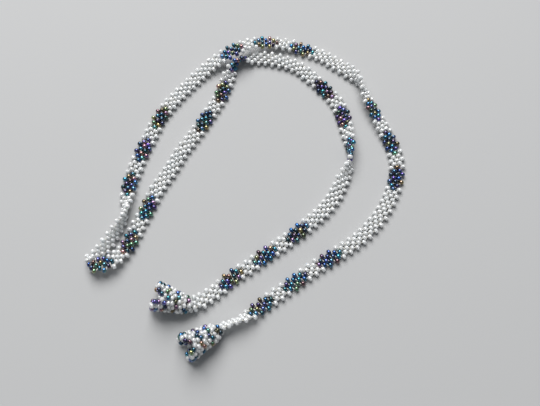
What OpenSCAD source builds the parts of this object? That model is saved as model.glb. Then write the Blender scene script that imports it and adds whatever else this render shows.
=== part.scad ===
/* [Beads] */
// Diameter of one seed bead
bead_d = 2.2; // [2.1:0.05:2.4]
// Lines of beads across the band
bead_lines = 5; // [4:1:5]

// How far the beads at the two edges of the band stand out of the weave
picot_out = 0.15; // [0:0.05:0.3]

/* [Band] */
// Depth of the rounding at the two edges of the band, as a share of its thickness
edge_round = 1; // [0.6:0.1:1]
// Longest step between two cross-sections along the band
ring_step = 2.4; // [1.8:0.2:4]

/* [Bells] */
// Length of a bell from its neck to the tip of a petal
bell_length = 14.6; // [13:0.2:16]
// How far the notch between two petals is cut back from the tips
notch_depth = 2.8; // [2:0.2:4]
// Petals round the mouth
petals = 4; // [3:1:5]
// Radius of the bell's wall at the neck, at the middle of the beads
neck_r = 1.7; // [1.6:0.1:2]
// Radius of the bell's wall at the notches
mouth_r = 4.6; // [4.2:0.1:4.9]
// Radius of the bell's wall at the petal tips
tip_r = 5.7; // [5:0.1:6.2]
// Thickness of the bell's wall, one bead
bell_wall = 1.8; // [1.6:0.1:2.2]

/* [Hidden] */

pearl_white = [0.88, 0.89, 0.90];
bell_tone = [0.60, 0.61, 0.69];

bead_r = bead_d / 2;
// The lines nest into each other, half a bead apart
line_gap = bead_d / 2;
band_w = (bead_lines - 1) * line_gap + bead_d + 2 * picot_out;
join_gap = 0.2;

// Middle of the laid-out piece in the frame that the route is written in
table_centre = [-0.5, -1.4];

// The band's middle line, from the first bell to the second, as it lies on the table.
// Columns: x, y, z, and the roll of the band about its own length in degrees.
// Roll 0 is flat, 90 stands on one edge, 180 is flat with its other face up.
ROUTE = [
    [-20.9, -49.7, 2.7, 0],
    [-19.6, -49.3, 2.5, 0],
    [-18.1, -48.4, 2.1, 0],
    [-15.7, -46.6, 1.6, 0],
    [-13, -44.8, 1.3, 0],
    [-7.1, -39.5, 1.2, 0],
    [-0.2, -34.9, 1.2, 0],
    [6, -30.2, 1.2, 0],
    [12.3, -26, 1.2, 0],
    [19.1, -20.8, 1.2, 0],
    [24.2, -16.5, 1.2, 0],
    [30.2, -11, 1.2, 0],
    [35.3, -3.4, 1.4, 6],
    [37.9, 2.5, 2.4, 30],
    [39.8, 5.8, 3, 50],
    [40.5, 8.4, 3.4, 70],
    [40.9, 10.9, 3.6, 88],
    [41.1, 13.2, 3.5, 101],
    [41.1, 15.5, 3.4, 112],
    [40.9, 18.8, 3.1, 126],
    [39.9, 23.9, 2.6, 144],
    [38.8, 30.2, 1.8, 166],
    [36.3, 37.3, 1.3, 178],
    [31.4, 43.4, 1.2, 180],
    [26.7, 48.4, 1.2, 180],
    [20.4, 54, 1.4, 176],
    [13.1, 57.1, 1.8, 168],
    [6.5, 58.4, 2, 160],
    [2, 58.7, 2, 166],
    [-1.5, 58.6, 2, 194],
    [-3.9, 57.7, 2.9, 228],
    [-6.1, 55.9, 3.5, 262],
    [-7.8, 53.4, 3.5, 290],
    [-9.3, 50.4, 2.8, 320],
    [-10.4, 47.6, 1.8, 346],
    [-11.5, 44.7, 1.3, 358],
    [-12.9, 40.5, 1.2, 360],
    [-15.5, 35.5, 1.2, 360],
    [-19.4, 28.7, 1.2, 360],
    [-23.6, 21.6, 1.2, 360],
    [-28.2, 14.8, 1.2, 360],
    [-33.1, 5.3, 1.2, 360],
    [-37, -0.9, 1.2, 360],
    [-40, -7.6, 1.2, 360],
    [-42.2, -13.1, 1.2, 360],
    [-44.5, -18, 1.2, 360],
    [-46.4, -23.3, 1.3, 360],
    [-48.7, -27.9, 1.8, 360],
    [-51.4, -31.5, 2.8, 360],
    [-54.5, -34.2, 3.9, 360],
    [-57.5, -35.1, 4.2, 360],
    [-60, -35, 4.2, 360],
    [-61.3, -34.8, 3.9, 333],
    [-62.1, -34.2, 3.1, 270],
    [-61.9, -33.2, 2.2, 207],
    [-61, -32.2, 1.7, 190],
    [-58.5, -29.6, 2.1, 204],
    [-55.6, -25.5, 2.7, 221],
    [-53.8, -22.5, 2.9, 229],
    [-52.1, -19.6, 3.2, 239],
    [-50.5, -16.7, 3.5, 254],
    [-49.5, -14, 3.6, 272],
    [-49.5, -11.5, 3.2, 303],
    [-49.6, -9.2, 2.7, 320],
    [-49.5, -6.4, 2.3, 333],
    [-49, -0.1, 1.5, 352],
    [-47.2, 6.9, 1.2, 360],
    [-44.4, 15.4, 1.2, 360],
    [-41.6, 22.2, 1.2, 360],
    [-38.4, 30.1, 1.2, 360],
    [-35.3, 35.1, 1.2, 360],
    [-29.4, 42.5, 1.2, 360],
    [-22.1, 50.7, 1.4, 360],
    [-15.3, 56.4, 3.1, 360],
    [-7.7, 60.2, 5.7, 357],
    [-1.6, 63.2, 5.5, 353],
    [6.3, 65.4, 3.6, 352],
    [14.1, 65.6, 2.1, 352],
    [22.6, 63.3, 1.3, 356],
    [29.7, 60.6, 1.2, 360],
    [35.2, 57.2, 1.2, 362],
    [40.7, 52.8, 1.9, 376],
    [44, 49.7, 2.9, 410],
    [45.7, 47.2, 3.4, 438],
    [47.1, 44.3, 3.6, 460],
    [48.2, 41.5, 3.1, 489],
    [49.3, 38.4, 2.7, 502],
    [51, 34.2, 2.5, 508],
    [55.3, 24.8, 1.8, 526],
    [58.4, 17.8, 1.2, 540],
    [60, 11.2, 1.2, 540],
    [59.6, 3, 1.2, 540],
    [57.1, -4.5, 1.2, 540],
    [53.5, -11.7, 1.2, 540],
    [48.5, -18.4, 1.2, 540],
    [42.1, -24.4, 1.2, 540],
    [37.4, -27.7, 1.2, 540],
    [30.9, -31.8, 1.2, 540],
    [24.4, -36, 1.2, 540],
    [17.8, -40.9, 1.2, 540],
    [11, -45.7, 1.2, 540],
    [4.9, -50.3, 1.4, 542],
    [1.2, -53.2, 2.2, 562],
    [-1.3, -55, 3.1, 587],
    [-4.3, -56.3, 3.4, 603],
    [-7.4, -57.4, 3.6, 603],
    [-10.3, -59.1, 3.8, 589]
];
// Row of the route where the band's two halves meet
join_row = 57;

// Columns: distance from the neck, radius at the middle of the wall
BELL_PROFILE = [
    [0, neck_r],
    [1.6, neck_r + 1],
    [3.6, neck_r + 1.7],
    [7, neck_r + 2],
    [bell_length - notch_depth, mouth_r],
    [bell_length, tip_r]
];
// Columns: neck x, y, z, turn about the upright, rise of the axis, spin of the petals
FIRST_BELL = [-22.2, -50.8, 3.1, 166, 16.5, 36];
SECOND_BELL = [-11.3, -60, 3.5, 211, 11.5, 34];
bell_sides = 32;
bell_rings = 9;
// The closed end of a bell bulges by this much, over this share of its radius
bell_crown = 0.6;
crown_share = 0.5;

function xyz(row) = [row[0], row[1], row[2]];
function unit(v) = v / norm(v);
function chord(i) = norm(xyz(ROUTE[i + 1]) - xyz(ROUTE[i]));
function rise(i) = (ROUTE[i + 1] - ROUTE[i]) / chord(i);

// Slope of the route at a row, weighed by the lengths on both sides
function slope(i) =
    i == 0 ? rise(0) :
    i == len(ROUTE) - 1 ? rise(i - 1) :
    (rise(i - 1) * chord(i) + rise(i) * chord(i - 1)) / (chord(i - 1) + chord(i));

// Point of the route a share u of the way from row i to row i + 1
function along(i, u) =
    (2 * u ^ 3 - 3 * u ^ 2 + 1) * ROUTE[i]
    + (u ^ 3 - 2 * u ^ 2 + u) * chord(i) * slope(i)
    + (3 * u ^ 2 - 2 * u ^ 3) * ROUTE[i + 1]
    + (u ^ 3 - u ^ 2) * chord(i) * slope(i + 1);

// Direction of the route at the same place
function heading(i, u) = unit(xyz(
    (6 * u ^ 2 - 6 * u) / chord(i) * (ROUTE[i] - ROUTE[i + 1])
    + (3 * u ^ 2 - 4 * u + 1) * slope(i)
    + (3 * u ^ 2 - 2 * u) * slope(i + 1)));

// Places along the route where a cross-section stands, as row and share
function stations(first, last, start) = concat(
    [for (i = [first : last - 1])
        let (steps = ceil(chord(i) / ring_step))
        for (k = [0 : steps - 1]) [i, i == first && k == 0 ? start : k / steps]],
    [[last - 1, 1]]);

// Half-round edges and flat faces, as offsets across and through the band
section = [
    for (side = [1, -1], a = [-90 : 45 : 90])
        [side * (band_w / 2 - bead_r * edge_round + bead_r * edge_round * cos(a)),
         side * bead_r * sin(a)]
];

function ring(s) =
    let (row = along(s[0], s[1]),
         ahead = heading(s[0], s[1]),
         level = unit(cross([0, 0, 1], ahead)),
         over = cross(ahead, level),
         across = cos(row[3]) * level + sin(row[3]) * over,
         through = cross(ahead, across))
    [for (q = section) xyz(row) + q[0] * across + q[1] * through];

// Triangles between two neighbouring rings of n points
function strip(base, n) = [
    for (k = [0 : n - 1])
        let (a = base + k, b = base + (k + 1) % n)
        each [[a, b, a + n], [b, b + n, a + n]]
];

module band(first, last, start) {
    n = len(section);
    places = stations(first, last, start);
    points = [for (s = places) each ring(s)];
    rings = len(places);
    faces = concat(
        [[for (k = [n - 1 : -1 : 0]) k]],
        [for (r = [0 : rings - 2]) each strip(r * n, n)],
        [[for (k = [0 : n - 1]) (rings - 1) * n + k]]);
    translate([-table_centre[0], -table_centre[1], 0])
        polyhedron(points = points, faces = faces, convexity = 10);
}

// How far out a petal reaches at an angle: 1 at its tip, 0 in the notch
function petal(angle) = (0.5 + 0.5 * cos(petals * angle)) ^ 0.8;
function edge_at(angle) = bell_length - notch_depth * (1 - petal(angle));
function bell_radius(d) = lookup(d, BELL_PROFILE);

// One level of the outer wall (side 1) or the inner wall (side -1)
function bell_ring(level, side) = [
    for (k = [0 : bell_sides - 1])
        let (angle = k * 360 / bell_sides,
             start = side > 0 ? 0 : bell_wall,
             d = start + (edge_at(angle) - start) * level / bell_rings,
             r = bell_radius(d) + side * bell_wall / 2)
        [r * cos(angle), r * sin(angle), d]
];

module bell(place) {
    n = bell_sides;
    crown = [
        for (p = bell_ring(0, 1)) [p[0] * crown_share, p[1] * crown_share, -bell_crown]
    ];
    outer = [for (j = [0 : bell_rings]) each bell_ring(j, 1)];
    inner = [for (j = [bell_rings : -1 : 0]) each bell_ring(j, -1)];
    points = concat(crown, outer, inner);
    levels = 2 * (bell_rings + 1) + 1;
    faces = concat(
        [[for (k = [0 : n - 1]) k]],
        [for (r = [0 : levels - 2], t = strip(r * n, n)) [t[2], t[1], t[0]]],
        [[for (k = [n - 1 : -1 : 0]) (levels - 1) * n + k]]);
    translate([place[0] - table_centre[0], place[1] - table_centre[1], place[2]])
        rotate([0, 90 - place[4], place[3]])
            rotate([0, 0, place[5]])
                polyhedron(points = points, faces = faces, convexity = 6);
}

module first_band() {
    color(pearl_white) band(0, join_row, 0);
}

module second_band() {
    color(pearl_white) band(join_row, len(ROUTE) - 1, join_gap / chord(join_row));
}

module first_bell() {
    color(bell_tone) bell(FIRST_BELL);
}

module second_bell() {
    color(bell_tone) bell(SECOND_BELL);
}

first_band();
second_band();
first_bell();
second_bell();
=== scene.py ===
# %% [markdown]
# # A seed bead necklace, bead by bead
#
# The real piece is a flat band woven from seed beads, with a small bell of beads at each free end.
# It lies doubled on a table. The imported model holds the band as two smooth ribbons and the bells as two
# shells. This script keeps their places and builds what they stand for: about 1200 small glass beads
# and the thread that holds them.
#
# First the imported model is loaded. Its parts keep their places, because the finished beads have to fill
# the same room.

# %% Load the frame
import math

import bpy
import numpy as np
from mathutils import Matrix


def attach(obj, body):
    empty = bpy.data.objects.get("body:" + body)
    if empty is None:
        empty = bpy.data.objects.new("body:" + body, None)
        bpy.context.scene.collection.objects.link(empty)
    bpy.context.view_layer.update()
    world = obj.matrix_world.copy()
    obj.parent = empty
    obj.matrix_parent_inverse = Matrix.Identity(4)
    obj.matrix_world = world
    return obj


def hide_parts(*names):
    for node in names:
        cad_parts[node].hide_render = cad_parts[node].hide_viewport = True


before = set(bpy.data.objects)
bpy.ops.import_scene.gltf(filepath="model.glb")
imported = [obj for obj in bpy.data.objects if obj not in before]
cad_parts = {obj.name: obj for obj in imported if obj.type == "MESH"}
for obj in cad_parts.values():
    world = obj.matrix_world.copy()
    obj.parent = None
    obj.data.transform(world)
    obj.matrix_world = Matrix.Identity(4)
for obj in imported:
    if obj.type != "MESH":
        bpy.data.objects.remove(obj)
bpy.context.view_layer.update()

MM = 0.001

# %% [markdown]
# ## The camera
#
# The photograph was taken from just in front of the piece, looking down steeply. The camera's place was
# worked out from the weave: a bead is as long at the far side as at the near one. A constraint could aim
# the camera at the piece, but a fixed place and tilt are the simplest way to keep that view. The focal
# length is given for a sensor 36 mm wide.

# %% Camera
CAMERA_PLACE = (8.5 * MM, -105.6 * MM, 265 * MM)
CAMERA_DOWN = 69.5
FOCAL = 46.67
NEAREST_SEEN = 5 * MM

bpy.ops.object.select_all(action="DESELECT")
bpy.ops.object.camera_add(location=CAMERA_PLACE, rotation=(math.radians(90 - CAMERA_DOWN), 0, 0))
camera = bpy.context.object
camera.name = "camera"
camera.data.lens = FOCAL
camera.data.clip_start = NEAREST_SEEN
bpy.context.scene.camera = camera
print("camera looks down by", CAMERA_DOWN, "degrees")

# %% [markdown]
# ## The route of the band
#
# A woven band goes where its middle line goes, so the line comes first. The rows below are the ones that
# the solids were built from: x, y and z in millimetres, and the roll of the band about its own length.
# At roll 0 the band is flat, at 90 it stands on an edge, and at 180 it shows its other face.
# A curve object could hold the same points, but its twist is hard to steer where the band folds over.
# A short spline in numbers gives the same line as the solids, to a hundredth of a millimetre.

# %% Rows of the route
ROUTE = np.array([
    (-20.9, -49.7, 2.7, 0), (-19.6, -49.3, 2.5, 0), (-18.1, -48.4, 2.1, 0), (-15.7, -46.6, 1.6, 0),
    (-13, -44.8, 1.3, 0), (-7.1, -39.5, 1.2, 0), (-0.2, -34.9, 1.2, 0), (6, -30.2, 1.2, 0),
    (12.3, -26, 1.2, 0), (19.1, -20.8, 1.2, 0), (24.2, -16.5, 1.2, 0), (30.2, -11, 1.2, 0),
    (35.3, -3.4, 1.4, 6), (37.9, 2.5, 2.4, 30), (39.8, 5.8, 3, 50), (40.5, 8.4, 3.4, 70),
    (40.9, 10.9, 3.6, 88), (41.1, 13.2, 3.5, 101), (41.1, 15.5, 3.4, 112), (40.9, 18.8, 3.1, 126),
    (39.9, 23.9, 2.6, 144), (38.8, 30.2, 1.8, 166), (36.3, 37.3, 1.3, 178), (31.4, 43.4, 1.2, 180),
    (26.7, 48.4, 1.2, 180), (20.4, 54, 1.4, 176), (13.1, 57.1, 1.8, 168), (6.5, 58.4, 2, 160),
    (2, 58.7, 2, 166), (-1.5, 58.6, 2, 194), (-3.9, 57.7, 2.9, 228), (-6.1, 55.9, 3.5, 262),
    (-7.8, 53.4, 3.5, 290), (-9.3, 50.4, 2.8, 320), (-10.4, 47.6, 1.8, 346), (-11.5, 44.7, 1.3, 358),
    (-12.9, 40.5, 1.2, 360), (-15.5, 35.5, 1.2, 360), (-19.4, 28.7, 1.2, 360), (-23.6, 21.6, 1.2, 360),
    (-28.2, 14.8, 1.2, 360), (-33.1, 5.3, 1.2, 360), (-37, -0.9, 1.2, 360), (-40, -7.6, 1.2, 360),
    (-42.2, -13.1, 1.2, 360), (-44.5, -18, 1.2, 360), (-46.4, -23.3, 1.3, 360), (-48.7, -27.9, 1.8, 360),
    (-51.4, -31.5, 2.8, 360), (-54.5, -34.2, 3.9, 360), (-57.5, -35.1, 4.2, 360), (-60, -35, 4.2, 360),
    (-61.3, -34.8, 3.9, 333), (-62.1, -34.2, 3.1, 270), (-61.9, -33.2, 2.2, 207), (-61, -32.2, 1.7, 190),
    (-58.5, -29.6, 2.1, 204), (-55.6, -25.5, 2.7, 221), (-53.8, -22.5, 2.9, 229), (-52.1, -19.6, 3.2, 239),
    (-50.5, -16.7, 3.5, 254), (-49.5, -14, 3.6, 272), (-49.5, -11.5, 3.2, 303), (-49.6, -9.2, 2.7, 320),
    (-49.5, -6.4, 2.3, 333), (-49, -0.1, 1.5, 352), (-47.2, 6.9, 1.2, 360), (-44.4, 15.4, 1.2, 360),
    (-41.6, 22.2, 1.2, 360), (-38.4, 30.1, 1.2, 360), (-35.3, 35.1, 1.2, 360), (-29.4, 42.5, 1.2, 360),
    (-22.1, 50.7, 1.4, 360), (-15.3, 56.4, 3.1, 360), (-7.7, 60.2, 5.7, 357), (-1.6, 63.2, 5.5, 353),
    (6.3, 65.4, 3.6, 352), (14.1, 65.6, 2.1, 352), (22.6, 63.3, 1.3, 356), (29.7, 60.6, 1.2, 360),
    (35.2, 57.2, 1.2, 362), (40.7, 52.8, 1.9, 376), (44, 49.7, 2.9, 410), (45.7, 47.2, 3.4, 438),
    (47.1, 44.3, 3.6, 460), (48.2, 41.5, 3.1, 489), (49.3, 38.4, 2.7, 502), (51, 34.2, 2.5, 508),
    (55.3, 24.8, 1.8, 526), (58.4, 17.8, 1.2, 540), (60, 11.2, 1.2, 540), (59.6, 3, 1.2, 540),
    (57.1, -4.5, 1.2, 540), (53.5, -11.7, 1.2, 540), (48.5, -18.4, 1.2, 540), (42.1, -24.4, 1.2, 540),
    (37.4, -27.7, 1.2, 540), (30.9, -31.8, 1.2, 540), (24.4, -36, 1.2, 540), (17.8, -40.9, 1.2, 540),
    (11, -45.7, 1.2, 540), (4.9, -50.3, 1.4, 542), (1.2, -53.2, 2.2, 562), (-1.3, -55, 3.1, 587),
    (-4.3, -56.3, 3.4, 603), (-7.4, -57.4, 3.6, 603), (-10.3, -59.1, 3.8, 589),
], float)
TABLE_CENTRE = np.array([-0.5, -1.4, 0])
JOIN_ROW = 57
print(len(ROUTE), "rows, the two halves of the band meet at row", JOIN_ROW)

# %% [markdown]
# The line between two rows is a cubic that leaves each row along the mean slope of its neighbours,
# weighed by their lengths. It is followed in short steps. Each step knows how far along the band it is,
# which way is ahead and which way is across the band.

# %% Follow the route in short steps
STEP = 0.1
FEWEST_STEPS = 2
UPRIGHT = np.array([0.0, 0.0, 1.0])


def route_slopes(rows, chords):
    """Slope of the route at each row, from the rises on both sides of it."""
    chords = chords[:, None]
    rises = np.diff(rows, axis=0) / chords
    inner = (rises[:-1] * chords[1:] + rises[1:] * chords[:-1]) / (chords[:-1] + chords[1:])
    return np.vstack([rises[:1], inner, rises[-1:]])


def follow(rows):
    """Short steps along the route, and the step at which each row starts."""
    chords = np.linalg.norm(np.diff(rows[:, :3], axis=0), axis=1)
    slopes = route_slopes(rows, chords)
    points = []
    row_starts = []
    for i, chord in enumerate(chords):
        count = max(FEWEST_STEPS, math.ceil(chord / STEP))
        u = (np.arange(count) / count)[:, None]
        row_starts.append(sum(len(p) for p in points))
        points.append(
            (2 * u**3 - 3 * u**2 + 1) * rows[i]
            + (u**3 - 2 * u**2 + u) * chord * slopes[i]
            + (3 * u**2 - 2 * u**3) * rows[i + 1]
            + (u**3 - u**2) * chord * slopes[i + 1]
        )
    points.append(rows[-1:])
    return np.concatenate(points), row_starts


def unit(vectors):
    return vectors / np.linalg.norm(vectors, axis=-1, keepdims=True)


steps, row_starts = follow(ROUTE)
line = steps[:, :3] - TABLE_CENTRE
run = np.concatenate([[0], np.cumsum(np.linalg.norm(np.diff(line, axis=0), axis=1))])
ahead = unit(np.gradient(line, axis=0))
level = unit(np.cross(UPRIGHT, ahead))
over = np.cross(ahead, level)
roll = np.radians(steps[:, 3])[:, None]
across = np.cos(roll) * level + np.sin(roll) * over
join_run = run[row_starts[JOIN_ROW]]
print("band is", round(run[-1], 1), "mm long and its halves meet at", round(join_run, 1), "mm")

# %% [markdown]
# ## One seed bead
#
# A seed bead is a short piece cut from a drawn glass tube and fire polished until its rims are round.
# It could be a scaled torus, but that has no flat ends round the hole. Here it is made as the glass is:
# a short rod, its two ends inset, the hole opened by bridging the inset faces, and the rims bevelled
# round. The bead repeats more than a thousand times, so it keeps to 80 faces.

# %% Model one bead
BEAD_D = 2.2
BEAD_L = 1.5
HOLE_D = 0.8
RIM_ROUND = 0.56
BEAD_SIDES = 10
BEVEL_STEPS = 2
LOOKS_ALONG = 0.9
RIM_SHARE = 0.9


def bead_master():
    bpy.ops.object.select_all(action="DESELECT")
    bpy.ops.mesh.primitive_cylinder_add(
        vertices=BEAD_SIDES, radius=BEAD_D / 2, depth=BEAD_L, end_fill_type="NGON"
    )
    bead = bpy.context.object
    bpy.ops.object.mode_set(mode="EDIT")
    bpy.ops.mesh.select_mode(type="FACE")
    bpy.ops.mesh.select_all(action="DESELECT")
    bpy.ops.object.mode_set(mode="OBJECT")
    for face in bead.data.polygons:
        face.select = abs(face.normal.z) > LOOKS_ALONG
    bpy.ops.object.mode_set(mode="EDIT")
    bpy.ops.mesh.inset(thickness=(BEAD_D - HOLE_D) / 2)
    bpy.ops.mesh.bridge_edge_loops()
    bpy.ops.mesh.select_mode(type="EDGE")
    bpy.ops.mesh.select_all(action="DESELECT")
    bpy.ops.object.mode_set(mode="OBJECT")
    points = bead.data.vertices
    for edge in bead.data.edges:
        ends = [points[v].co for v in edge.vertices]
        on_rim = all(math.hypot(p.x, p.y) > RIM_SHARE * BEAD_D / 2 for p in ends)
        edge.select = on_rim and abs(ends[0].z - ends[1].z) < BEAD_L / 2
    bpy.ops.object.mode_set(mode="EDIT")
    bpy.ops.mesh.bevel(offset=RIM_ROUND, segments=BEVEL_STEPS, profile=0.5)
    bpy.ops.mesh.select_all(action="SELECT")
    bpy.ops.mesh.normals_make_consistent(inside=False)
    bpy.ops.object.mode_set(mode="OBJECT")
    return bead


master = bead_master()
BEAD_POINTS = np.array([v.co[:] for v in master.data.vertices])
BEAD_FACES = [tuple(face.vertices) for face in master.data.polygons]
bpy.data.objects.remove(master)
print("one bead:", len(BEAD_POINTS), "points and", len(BEAD_FACES), "faces")

# %% [markdown]
# ## Threading beads in their places
#
# Every bead of the necklace is a copy of that one. A copy needs a place, the direction of its hole, a
# size, and two numbers for its finish: how it differs in tone from its neighbours, and where its sheen
# sits on the colours of the rainbow. Arrays and instances can't follow a chart of colours, so the copies
# are placed by number, and those of one finish on one part are joined into one mesh.

# %% Join copies of the bead into one piece
SEED = 42
BEAD_NUMBERS = ("tone", "hue")
SKEW = (0.3, 0.2, 1.0)
rng = np.random.default_rng(SEED)


def bead_turns(holes, spins):
    """Turns that lay each bead's hole along the thread. No thread runs in the direction SKEW."""
    side = unit(np.cross(holes, SKEW))
    up = np.cross(holes, side)
    c = np.cos(spins)[:, None]
    s = np.sin(spins)[:, None]
    return np.stack([c * side + s * up, c * up - s * side, holes], axis=2)


def join_beads(name, places, holes, sizes, *numbers):
    """One mesh of many beads, each with its numbers stored on all its points."""
    count = len(places)
    turns = bead_turns(unit(holes), rng.uniform(0, 2 * math.pi, count))
    local = BEAD_POINTS[None] * sizes[:, None, None]
    points = np.einsum("bij,bpj->bpi", turns, local) + places[:, None]
    mesh = bpy.data.meshes.new(name)
    faces = [tuple(v + b * len(BEAD_POINTS) for v in face) for b in range(count) for face in BEAD_FACES]
    mesh.from_pydata((points.reshape(-1, 3) * MM).tolist(), [], faces)
    mesh.shade_smooth()
    for label, values in zip(BEAD_NUMBERS, numbers):
        attribute = mesh.attributes.new(label, "FLOAT", "POINT")
        attribute.data.foreach_set("value", np.repeat(values, len(BEAD_POINTS)))
    piece = bpy.data.objects.new(name, mesh)
    bpy.context.scene.collection.objects.link(piece)
    return piece


print("each bead carries the numbers", BEAD_NUMBERS, "on its", len(BEAD_POINTS), "points")

# %% [markdown]
# ## The weave
#
# The band has five lines of beads, and every hole runs along the band. The middle and the outer lines
# are in step. The two between them sit half a column further on, so each bead fills the gap between two
# neighbours. The weave isn't even: it is stretched in some places and pushed together in others. An even
# spacing would be simpler, but a short table that says where a column stands keeps the patches in place.

# %% Columns along the band
COLUMN_PLACES = np.array([
    # column, millimetres along the route
    (0, 0.3), (5.5, 17.2), (12, 38.3), (19.5, 61.9), (24.5, 77.1), (32, 100.5), (39.5, 124.4),
    (44.5, 140.4), (49.5, 156.6), (53.5, 168.3), (58, 181.7), (68, 213.4), (78, 245.2), (82, 258),
    (87.5, 274.5), (92, 288.4), (97, 304), (101.5, 318.2), (112, 352.3), (119.5, 375.7), (127, 398.8),
    (137, 431.4), (141, 443.8), (149.5, 471.4), (165, 521.8), (174, 551), (182, 577.2), (188.5, 599.1),
])
LINES = (-2, -1, 0, 1, 2)
LINE_GAP = BEAD_D / 2
HALF_COLUMN = 0.5
LEAN = 0.2


def columns_of(line_number):
    """The columns at which one of the lines has a bead."""
    start = HALF_COLUMN if line_number % 2 else 0
    return np.arange(start, COLUMN_PLACES[-1, 0] + HALF_COLUMN / 2)


def run_of(column, line_number):
    """Distance along the band at which a column stands in one of the lines."""
    return np.interp(column, COLUMN_PLACES[:, 0], COLUMN_PLACES[:, 1]) + LEAN * line_number


print("beads in each line:", [len(columns_of(number)) for number in LINES])

# %% [markdown]
# The pattern could be painted over the band as a picture, but beaders count it, and so does this chart:
# groups of three dark patches, one every five columns, and each group starts 24 columns after the last.
# A patch reaches further in the middle line than in the outer ones. The outermost beads stand a little
# proud and make the scalloped edge.

# %% Chart of the pattern
PICOT_OUT = 0.12
FIRST_PATCH = 5.5
PATCH_STEP = 5
GROUP_STEP = 24
GROUPS = 8
PATCHES_IN_GROUP = 3
PATCHES = [
    FIRST_PATCH + group * GROUP_STEP + patch * PATCH_STEP
    for group in range(GROUPS)
    for patch in range(PATCHES_IN_GROUP)
]
PATCH_REACH = {0: 1.6, 1: 1.1, 2: 0.6}


def is_iris(column, line_number):
    """Whether a bead lies in a dark patch. A patch is widest in the middle line."""
    return min(abs(column - patch) for patch in PATCHES) < PATCH_REACH[abs(line_number)]


def weave():
    """For each bead of the band: distance along it, offset across it, and 1 for a dark bead."""
    rows = []
    for number in LINES:
        picot = PICOT_OUT * np.sign(number) if abs(number) == LINES[-1] else 0
        for column in columns_of(number):
            rows.append((run_of(column, number), number * LINE_GAP + picot, is_iris(column, number)))
    return np.array(rows, float).T


band_run, band_offset, band_dark = weave()
band_dark = band_dark == 1
print(len(band_run), "beads in the band, of them", band_dark.sum(), "dark, in", len(PATCHES), "patches")

# %% [markdown]
# No two seed beads are alike and no thread pulls quite evenly. A physics run could shake the beads into
# their places, but their order has to stay. So each bead only gets a little play: in place, in the
# direction of its hole and in size. The random numbers start from a fixed seed, so that the necklace is
# the same one every time.

# %% Thread the beads of the band
PLAY = 0.05
TILT = 0.09
SIZE_SPREAD = 0.03
SIZE_LIMIT = 0.06


def along_band(distance, offset):
    """Places and directions of the hole, at distances along the band and offsets across it."""
    place, hole, side = (
        np.stack([np.interp(distance, run, field[:, k]) for k in range(3)], axis=-1)
        for field in (line, ahead, across)
    )
    return place + unit(side) * offset[:, None], unit(hole)


def with_play(places, holes, scale=1.0):
    """Places, holes, sizes and the two numbers of beads that each sit a little differently."""
    count = len(places)
    places = places + rng.normal(0, PLAY, (count, 3))
    holes = unit(holes + rng.normal(0, TILT, (count, 3)))
    sizes = scale * (1 + rng.normal(0, SIZE_SPREAD, count).clip(-SIZE_LIMIT, SIZE_LIMIT))
    return places, holes, sizes, rng.uniform(0, 1, count), rng.uniform(0, 1, count)


def join_by_finish(node, mine, dark, beads):
    """Join a solid's own beads into a white piece and an iris piece."""
    for kind, chosen in (("white_beads", ~dark), ("iris_beads", dark)):
        pick = mine & chosen
        piece = join_beads(f"{node}_{kind}", *(values[pick] for values in beads))
        pieces.append((piece, node, kind))
        print(piece.name, pick.sum(), "beads")


pieces = []
band_beads = with_play(*along_band(band_run, band_offset))
join_by_finish("first_band", band_run < join_run, band_dark, band_beads)
join_by_finish("second_band", band_run >= join_run, band_dark, band_beads)

# %% [markdown]
# ## The bells
#
# Each bell is stitched in the round, row on row, with the holes up the wall. The beads stand in pairs
# that lean towards each other. It widens from 6 beads at the neck to 14 at the mouth, and each petal adds
# two rows of three. Every third row is dark, and so are the outer beads of each petal, which draw a dark
# edge round it. Four beads close the neck, where the band's thread comes in.
#
# The wall's outline and the turn and tilt of each bell are those of the solids. The rows are a short
# table: distance from the neck, and beads in the row. A full row has no room to stay level, so its beads
# step up and down. That could be drawn bead by bead, but here they find it themselves: wherever two beads
# overlap, both are pushed aside a little, along the wall, until they fit.

# %% Rows of the bells
BELL_WALL = np.array([(-1.2, 1.1), (0, 1.7), (1.6, 2.7), (3.6, 3.4), (7, 3.7), (11.8, 4.6), (14.6, 5.7)])
PETALS = 4
BELL_ROWS = [
    # distance from the neck, beads in the row
    (-1, 4), (0.4, 6), (1.8, 8), (3.1, 10), (4.4, 12), (5.7, 12), (7, 12), (8.3, 14), (9.7, 14), (11, 14),
]
PETAL_ROWS = [
    # distance from the neck, degrees between the three beads of one petal
    (12.3, 22), (13.5, 19),
]
PETAL_SIDES = (-1, 0, 1)
BELLS = {
    # neck x, y, z, turn about the upright, rise of the axis, spin of the petals, first dark row
    "first_bell": (-22.2, -50.8, 3.1, 166, 16.5, 36, 2),
    "second_bell": (-11.3, -60, 3.5, 211, 11.5, 34, 1),
}
wall_count = sum(count for _, count in BELL_ROWS)
petal_count = PETALS * len(PETAL_ROWS) * len(PETAL_SIDES)
print("each bell has", wall_count, "beads in its wall and", petal_count, "in its petals")

# %% [markdown]
# A bead keeps its own room: it is nearly round from the side, and shorter along its hole. Where two beads
# are closer than that, each gives way by a part of what is missing, and a light pull keeps every bead
# near its own row. After some dozens of rounds nothing overlaps any more.

# %% Let the beads of a bell find room
BEAD_ROOM = (1.95, 1.4)
SETTLE_ROUNDS = 60
GIVE_WAY = 0.4
HOME_PULL = 0.1


def bell_radius(distance):
    """Radius at the middle of the wall, at a distance from the neck."""
    return np.interp(distance, BELL_WALL[:, 0], BELL_WALL[:, 1])


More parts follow.
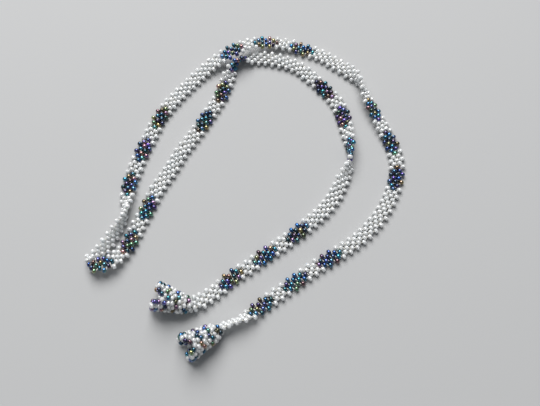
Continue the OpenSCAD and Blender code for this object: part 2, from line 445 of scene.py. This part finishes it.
def settle(rows):
    """Push overlapping beads aside along the wall: angle in degrees and distance from the neck."""
    home = rows[:, 1].copy()
    for _ in range(SETTLE_ROUNDS):
        turn = (rows[:, None, 0] - rows[None, :, 0] + 180) % 360 - 180
        radius = bell_radius((rows[:, None, 1] + rows[None, :, 1]) / 2)
        side = np.radians(turn) * radius / BEAD_ROOM[0]
        along = (rows[:, None, 1] - rows[None, :, 1]) / BEAD_ROOM[1]
        apart = np.hypot(side, along) + np.eye(len(rows))
        push = np.clip(1 - apart, 0, None) / apart * GIVE_WAY
        sideways = (push * side).sum(axis=1) * BEAD_ROOM[0]
        rows[:, 0] += np.degrees(sideways / bell_radius(rows[:, 1]))
        rows[:, 1] += (push * along).sum(axis=1) * BEAD_ROOM[1] + HOME_PULL * (home - rows[:, 1])
    return rows


print("a bead of a bell needs", BEAD_ROOM[0], "by", BEAD_ROOM[1], "mm of the wall")

# %% [markdown]
# Now the beads are counted out. In each row they lean and step up and down by turns, so two neighbours
# make a pair. The petals are counted the same way, three beads to a row, with the middle one a step
# further out as the tip. Each bead is then given room.

# %% Count out the beads of a bell
PAIR_LEAN = math.radians(20)
ROW_STEP = 0.4
DARK_EVERY = 3


def bell_beads(first_dark):
    """Rows of: angle round the bell, distance from the neck, lean of the hole, 1 for a dark bead."""
    rows = []
    for number, (distance, count) in enumerate(BELL_ROWS):
        dark = number % DARK_EVERY == first_dark
        for k in range(count):
            way = (-1) ** k
            rows.append(((k + 0.5) * 360 / count, distance + ROW_STEP * way, PAIR_LEAN * way, dark))
    for distance, step in PETAL_ROWS:
        for petal in range(PETALS):
            for k in PETAL_SIDES:
                tip = ROW_STEP if k == 0 else 0
                rows.append((petal * 360 / PETALS + k * step, distance + tip, PAIR_LEAN * k, k != 0))
    return settle(np.array(rows, float))


bell_charts = {bell: bell_beads(first_dark) for bell, (*_, first_dark) in BELLS.items()}
print("dark beads:", {bell: int(rows[:, 3].sum()) for bell, rows in bell_charts.items()})

# %% [markdown]
# A bell is laid out upright, with its neck at the bottom. The turns then lay it down: first the petals are
# spun to where they lie, then the axis is tipped to its small rise, and last it is turned on the table.

# %% Put the bells where they lie
FLARE_STEP = 0.4


def turn_about_z(degrees):
    c = math.cos(math.radians(degrees))
    s = math.sin(math.radians(degrees))
    return np.array([[c, -s, 0], [s, c, 0], [0, 0, 1]])


def turn_about_y(degrees):
    c = math.cos(math.radians(degrees))
    s = math.sin(math.radians(degrees))
    return np.array([[c, 0, s], [0, 1, 0], [-s, 0, c]])


def on_bell(place, angle, distance, lean, stand_out=0.0):
    """Place and direction of the hole on the wall of a bell, from the neck's place and turns."""
    x, y, z, turn, rise, spin, _ = place
    a = np.radians(angle)
    radius = bell_radius(distance) + stand_out
    flare = bell_radius(distance + FLARE_STEP) + stand_out - radius
    out = np.stack([np.cos(a), np.sin(a), np.zeros_like(a)], axis=1)
    around = np.stack([-np.sin(a), np.cos(a), np.zeros_like(a)], axis=1)
    up = unit(out * flare[:, None] / FLARE_STEP + UPRIGHT)
    hole = up * np.cos(lean)[:, None] + around * np.sin(lean)[:, None]
    local = out * radius[:, None] + UPRIGHT * distance[:, None]
    turns = turn_about_z(turn) @ turn_about_y(90 - rise) @ turn_about_z(spin)
    return local @ turns.T + np.array([x, y, z]) - TABLE_CENTRE, hole @ turns.T


print("necks at", {bell: place[:3] for bell, place in BELLS.items()}, "mm on the route's table")

# %% [markdown]
# With the rows counted and the wall in place, the beads are threaded like those of the band. They are a
# little smaller, because the best matched beads are kept for the band, and every second one stands a
# little out from the wall.

# %% Thread the beads of the bells
BELL_BEAD = 0.94
STAND_OUT = 0.1
for bell, place in BELLS.items():
    angle, distance, lean, dark = bell_charts[bell].T
    on_wall = on_bell(place, angle, distance, lean, STAND_OUT * np.sign(lean))
    join_by_finish(bell, True, dark == 1, with_play(*on_wall, BELL_BEAD))

# %% [markdown]
# ## The thread
#
# What holds the weave is one long cream thread, fine enough to pass each bead more than once. It could be
# a chain of small cylinders, but a curve with a round bevel is the natural tool: its path is laid as
# points, the bevel gives it its thickness, and the curve is then made a mesh.

# %% Make thread along a path
THREAD_D = 0.4
BEVEL_ROUNDNESS = 1


def thread_piece(node, paths, closed=False):
    """One mesh of thread along all the paths, for the solid that it belongs to."""
    name = f"{node}_thread"
    curve = bpy.data.curves.new(name, "CURVE")
    curve.dimensions = "3D"
    curve.bevel_depth = THREAD_D / 2 * MM
    curve.bevel_resolution = BEVEL_ROUNDNESS
    curve.use_fill_caps = not closed
    for path in paths:
        spline = curve.splines.new("POLY")
        spline.points.add(len(path) - 1)
        spline.points.foreach_set("co", np.column_stack([path * MM, np.ones(len(path))]).ravel())
        spline.use_cyclic_u = closed
    piece = bpy.data.objects.new(name, curve)
    bpy.context.scene.collection.objects.link(piece)
    bpy.ops.object.select_all(action="DESELECT")
    bpy.context.view_layer.objects.active = piece
    piece.select_set(True)
    bpy.ops.object.convert(target="MESH")
    piece = bpy.context.object
    piece.data.shade_smooth()
    pieces.append((piece, node, "thread"))
    print(piece.name, "has", len(piece.data.polygons), "faces along", len(paths), "paths")


print("thread:", THREAD_D, "mm thick, in holes of", HOLE_D, "mm")

# %% [markdown]
# In the band the thread goes through a bead, steps over to the next line at the bead's end, goes through
# the bead there, and steps back. Between two lines it draws a square wave, which needs only four points
# for each column. At each end two strands go on into the neck of the bell.

# %% Lay the thread of the band
HALF_HOLE = 0.25
CORNER = 0.05
END_MARGIN = 0.3
NECK_REACH = -0.5


def thread_wave(lower, low_run, high_run):
    """The thread's path between one line and the next, from one distance along the band to another."""
    waypoints = []
    for column in columns_of(lower):
        waypoints.append((column - HALF_HOLE + CORNER, lower))
        waypoints.append((column + HALF_HOLE - CORNER, lower))
        waypoints.append((column + HALF_HOLE + CORNER, lower + 1))
        waypoints.append((column + 3 * HALF_HOLE - CORNER, lower + 1))
    column, number = np.array(waypoints, float).T
    distance = run_of(column, number)
    keep = (distance >= low_run) & (distance <= high_run)
    return along_band(distance[keep], number[keep] * LINE_GAP)[0]


def neck_strands(end_run, bell):
    """Two straight strands from an end of the band into the neck of its bell."""
    starts, _ = along_band(np.full(2, end_run), np.array([-LINE_GAP, LINE_GAP]))
    ends, _ = on_bell(BELLS[bell], np.array([0.0, 180.0]), np.full(2, NECK_REACH), np.zeros(2))
    return list(np.stack([starts, ends], axis=1))


last_end = run[-1] - END_MARGIN
for half, low_run, high_run, strands in (
    ("first_band", END_MARGIN, join_run, neck_strands(END_MARGIN, "first_bell")),
    ("second_band", join_run, last_end, neck_strands(last_end, "second_bell")),
):
    waves = [thread_wave(lower, low_run, high_run) for lower in LINES[:-1]]
    thread_piece(half, waves + strands)

# %% [markdown]
# In the bells the thread runs round with the rows. From outside only short stretches of it show between
# the beads, so one closed ring under each row is enough. The two rows at the neck stand too close to show
# any.

# %% Lay the thread of the bells
RING_POINTS = 48
RING_BELOW = 0.65
UNRINGED_ROWS = 2
ring_angles = np.arange(RING_POINTS) * 360 / RING_POINTS
for bell, place in BELLS.items():
    rings = []
    for distance, _ in BELL_ROWS[UNRINGED_ROWS:]:
        ring_distance = np.full(RING_POINTS, distance - RING_BELOW)
        rings.append(on_bell(place, ring_angles, ring_distance, np.zeros(RING_POINTS))[0])
    thread_piece(bell, rings, closed=True)

# %% [markdown]
# ## The finish of the thread
#
# The thread is waxed and twisted from fine strands. At this size the twist is a faint diagonal rib, so a
# small bump and painted shade, a slightly darker colour in each groove, are enough. A picture of thread
# could be wrapped round it, but a wave pattern needs no picture and stays sharp at any size.

# %% Thread finish
def new_finish(name):
    """A new material with its nodes, its links and its Principled shader."""
    material = bpy.data.materials.new(name)
    material.use_nodes = True
    tree = material.node_tree
    return material, tree.nodes, tree.links, tree.nodes["Principled BSDF"]


def colour_ramp(nodes, links, factor, stops):
    """The colour that a changing factor picks between the stops."""
    ramp = nodes.new("ShaderNodeValToRGB")
    elements = ramp.color_ramp.elements
    while len(elements) < len(stops):
        elements.new(1.0)
    for element, (position, colour) in zip(elements, stops):
        element.position = position
        element.color = (*colour, 1)
    links.new(factor, ramp.inputs["Fac"])
    return ramp.outputs["Color"]


def beading_thread():
    material, nodes, links, shader = new_finish("cream_thread")
    where = nodes.new("ShaderNodeTexCoord")
    strands = nodes.new("ShaderNodeTexWave")
    strands.bands_direction = "DIAGONAL"
    strands.inputs["Scale"].default_value = 1500
    strands.inputs["Distortion"].default_value = 1.5
    links.new(where.outputs["Object"], strands.inputs["Vector"])
    # Painted shade: the ramp darkens the cream where the wave's bump is low, in each groove of the twist.
    colour = colour_ramp(nodes, links, strands.outputs["Fac"], [
        (0.0, (0.60, 0.57, 0.50)),
        (1.0, (0.82, 0.80, 0.73)),
    ])
    bump = nodes.new("ShaderNodeBump")
    bump.inputs["Strength"].default_value = 0.5
    bump.inputs["Distance"].default_value = 0.03 * MM
    links.new(strands.outputs["Fac"], bump.inputs["Height"])
    links.new(colour, shader.inputs["Base Color"])
    links.new(bump.outputs["Normal"], shader.inputs["Normal"])
    shader.inputs["Roughness"].default_value = 0.55
    shader.inputs["Sheen Weight"].default_value = 0.2
    return material


CREAM_THREAD = beading_thread()
print(CREAM_THREAD.name, "has", len(CREAM_THREAD.node_tree.nodes), "nodes")

# %% [markdown]
# ## Glass
#
# Drawn glass is never quite even. Both kinds of bead share a slow cloudiness inside and a slight ripple on
# the surface. The same nodes could be built twice, but one node group with named sockets, placed in each
# glass with its own values, keeps the two alike. The shader itself stays in the material.

# %% Node group for uneven glass
RIPPLE_SCALE = 1400
RIPPLE_HEIGHT = 0.05 * MM
CLOUD_DETAIL = 2


def group_socket(group, name, kind, way):
    return group.interface.new_socket(name=name, in_out=way, socket_type=kind)


def uneven_glass_group():
    group = bpy.data.node_groups.new("uneven_glass", "ShaderNodeTree")
    group_socket(group, "Cloud Size", "NodeSocketFloat", "INPUT")
    group_socket(group, "Ripple Depth", "NodeSocketFloat", "INPUT")
    group_socket(group, "Cloud", "NodeSocketFloat", "OUTPUT")
    group_socket(group, "Normal", "NodeSocketVector", "OUTPUT")
    nodes, links = group.nodes, group.links
    inside = nodes.new("NodeGroupInput")
    outside = nodes.new("NodeGroupOutput")
    where = nodes.new("ShaderNodeTexCoord")
    cloud = nodes.new("ShaderNodeTexNoise")
    cloud.inputs["Detail"].default_value = CLOUD_DETAIL
    ripple = nodes.new("ShaderNodeTexNoise")
    ripple.inputs["Scale"].default_value = RIPPLE_SCALE
    bump = nodes.new("ShaderNodeBump")
    bump.inputs["Distance"].default_value = RIPPLE_HEIGHT
    links.new(where.outputs["Object"], cloud.inputs["Vector"])
    links.new(where.outputs["Object"], ripple.inputs["Vector"])
    links.new(inside.outputs["Cloud Size"], cloud.inputs["Scale"])
    links.new(inside.outputs["Ripple Depth"], bump.inputs["Strength"])
    links.new(ripple.outputs["Fac"], bump.inputs["Height"])
    links.new(cloud.outputs["Fac"], outside.inputs["Cloud"])
    links.new(bump.outputs["Normal"], outside.inputs["Normal"])
    return group


def uneven_glass(nodes, cloud_size, ripple_depth):
    """The shared node group, placed in a glass with that glass's own values."""
    node = nodes.new("ShaderNodeGroup")
    node.node_tree = UNEVEN_GLASS
    node.inputs["Cloud Size"].default_value = cloud_size
    node.inputs["Ripple Depth"].default_value = ripple_depth
    return node


UNEVEN_GLASS = uneven_glass_group()
print("group sockets:", [item.name for item in UNEVEN_GLASS.interface.items_tree])

# %% [markdown]
# The white beads are milky glass with a pearl coat: light goes in, scatters and comes out grey at the
# thick middle and bright at the rims, under a sharp glassy highlight. A plain glass shader would show the
# table through the beads. Scattering under the surface, with a clear coat over it, keeps them milky. A
# bead's tone shifts it a little between bluish and warm white.

# %% White pearl finish
TONE_SHARE = 0.6
CLOUD_SHARE = 0.4


def bead_number(nodes, label):
    """A number that was stored on the points of each bead."""
    node = nodes.new("ShaderNodeAttribute")
    node.attribute_name = label
    return node.outputs["Fac"]


def worked_out(nodes, links, kind, *values):
    """A Math node of this kind, fed by plain numbers and by sockets of other nodes."""
    node = nodes.new("ShaderNodeMath")
    node.operation = kind
    for socket, value in zip(node.inputs, values):
        if isinstance(value, (int, float)):
            socket.default_value = value
        else:
            links.new(value, socket)
    return node.outputs[0]


def pearl_white():
    material, nodes, links, shader = new_finish("pearl_white_glass")
    glass = uneven_glass(nodes, cloud_size=420, ripple_depth=0.35)
    tone = worked_out(nodes, links, "MULTIPLY", bead_number(nodes, "tone"), TONE_SHARE)
    blend = worked_out(nodes, links, "MULTIPLY_ADD", glass.outputs["Cloud"], CLOUD_SHARE, tone)
    colour = colour_ramp(nodes, links, blend, [
        (0.1, (0.79, 0.86, 0.89)),
        (0.45, (0.88, 0.92, 0.93)),
        (0.9, (0.94, 0.95, 0.92)),
    ])
    links.new(colour, shader.inputs["Base Color"])
    links.new(glass.outputs["Normal"], shader.inputs["Normal"])
    shader.inputs["Roughness"].default_value = 0.12
    shader.inputs["IOR"].default_value = 1.52
    shader.inputs["Subsurface Weight"].default_value = 1.0
    shader.inputs["Subsurface Radius"].default_value = (1.0, 1.0, 1.0)
    shader.inputs["Subsurface Scale"].default_value = 3.5 * MM
    shader.inputs["Transmission Weight"].default_value = 0.1
    shader.inputs["Coat Weight"].default_value = 1.0
    shader.inputs["Coat IOR"].default_value = 1.6
    shader.inputs["Coat Roughness"].default_value = 0.06
    return material


WHITE_GLASS = pearl_white()
print(WHITE_GLASS.name, "has", len(WHITE_GLASS.node_tree.nodes), "nodes")

# %% [markdown]
# The dark beads are near-black glass with a thin metal oxide coat, fired on, which beaders call iris. The
# body stays dark, and each bead flashes in one colour of its own: blue, violet, pink, gold, green or teal.
# A thin film shader would tie the colour to the viewing angle. Here each bead carries a number that picks
# its colour from a ramp, and the slow cloudiness shifts it a little across the bead. A second number says
# how strong its sheen is: many beads stay nearly black. The clear glass over it gives all of them a glint.

# %% Iris finish
WEAKEST_SHEEN = 0.2
SHEEN_SPREAD = 1.2
CLOUD_MEAN = 0.5
HUE_DRIFT = 0.35


def iris_dark():
    material, nodes, links, shader = new_finish("dark_iris_glass")
    glass = uneven_glass(nodes, cloud_size=700, ripple_depth=0.3)
    drift = worked_out(nodes, links, "SUBTRACT", glass.outputs["Cloud"], CLOUD_MEAN)
    shifted = worked_out(nodes, links, "MULTIPLY_ADD", drift, HUE_DRIFT, bead_number(nodes, "hue"))
    colour = colour_ramp(nodes, links, shifted, [
        (0.0, (0.013, 0.065, 0.33)),
        (0.13, (0.025, 0.23, 0.29)),
        (0.26, (0.13, 0.05, 0.34)),
        (0.38, (0.025, 0.2, 0.2)),
        (0.5, (0.02, 0.09, 0.34)),
        (0.62, (0.34, 0.16, 0.2)),
        (0.74, (0.34, 0.27, 0.1)),
        (0.86, (0.1, 0.28, 0.18)),
        (1.0, (0.03, 0.11, 0.33)),
    ])
    strength = worked_out(
        nodes, links, "MULTIPLY_ADD", bead_number(nodes, "tone"), SHEEN_SPREAD, WEAKEST_SHEEN
    )
    sheen = nodes.new("ShaderNodeVectorMath")
    sheen.operation = "SCALE"
    links.new(colour, sheen.inputs[0])
    links.new(strength, sheen.inputs["Scale"])
    links.new(sheen.outputs["Vector"], shader.inputs["Base Color"])
    links.new(glass.outputs["Normal"], shader.inputs["Normal"])
    shader.inputs["Metallic"].default_value = 1.0
    shader.inputs["Roughness"].default_value = 0.17
    shader.inputs["Coat Weight"].default_value = 1.0
    shader.inputs["Coat Roughness"].default_value = 0.1
    return material


DARK_GLASS = iris_dark()
print(DARK_GLASS.name, "has", len(DARK_GLASS.node_tree.nodes), "nodes")

# %% [markdown]
# ## Finish the pieces
#
# Each piece gets its glass or thread, rides on the one body there is, and names the solid it stands for.
# The smooth solids could stay inside, but they would show through the gaps between the beads.

# %% Give the pieces their finishes
FINISHES = {
    "white_beads": (WHITE_GLASS, "pearl_beads"),
    "iris_beads": (DARK_GLASS, "iris_beads"),
    "thread": (CREAM_THREAD, "thread"),
}
for piece, node, kind in pieces:
    material, slot = FINISHES[kind]
    piece.data.materials.append(material)
    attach(piece, "root")
    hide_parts(node)
total = sum(len(face.vertices) - 2 for piece, _, _ in pieces for face in piece.data.polygons)
print(len(pieces), "pieces,", total, "triangles")

# %% [markdown]
# ## The table and the light
#
# The piece lies on a plain pale table. A curved backdrop could stand behind it, but the camera looks down
# so steeply that a flat sheet fills the view.

# %% Floor
FLOOR_WIDTH = 1.6
FLOOR_COLOUR = (0.42, 0.42, 0.42, 1)
FLOOR_ROUGHNESS = 0.8

bpy.ops.object.select_all(action="DESELECT")
bpy.ops.mesh.primitive_plane_add(size=FLOOR_WIDTH, location=(0, 0, 0))
floor = bpy.context.object
floor.name = "table_top"
floor_finish, _, _, floor_shader = new_finish("pale_table")
floor_shader.inputs["Base Color"].default_value = FLOOR_COLOUR
floor_shader.inputs["Roughness"].default_value = FLOOR_ROUGHNESS
floor.data.materials.append(floor_finish)
print("floor", round(floor.dimensions.x, 2), "m wide")

# %% [markdown]
# The light in the photograph is soft and comes from above and behind, so the highlights sit on the far
# side of the beads and the shadows fall towards the viewer. Several small lamps could do that too, but
# one wide lamp gives each bead one clear highlight, and a weak even light from all sides fills the rest.
# A film-like response would grey the highlights on white glass, so colours are shown as they are.

# %% Lights
WINDOW_PLACE = (-0.2, 0.9, 1.25)
WINDOW_WIDTH = 1.4
WINDOW_WATTS = 38
ROOM_COLOUR = (0.9, 0.95, 1.0, 1)
ROOM_STRENGTH = 0.25

towards = -np.array(WINDOW_PLACE)
tilt = math.atan2(math.hypot(towards[0], towards[1]), -towards[2])
turn = math.atan2(towards[1], towards[0]) - math.pi / 2
bpy.ops.object.light_add(type="AREA", location=WINDOW_PLACE, rotation=(tilt, 0, turn))
window = bpy.context.object
window.name = "window_behind"
window.data.shape = "DISK"
window.data.size = WINDOW_WIDTH
window.data.energy = WINDOW_WATTS
world = bpy.context.scene.world or bpy.data.worlds.new("room")
bpy.context.scene.world = world
world.use_nodes = True
world.node_tree.nodes["Background"].inputs["Color"].default_value = ROOM_COLOUR
world.node_tree.nodes["Background"].inputs["Strength"].default_value = ROOM_STRENGTH
bpy.context.scene.view_settings.view_transform = "Standard"
print(window.name, window.data.energy, "W, disk", round(window.data.size, 2), "m across")
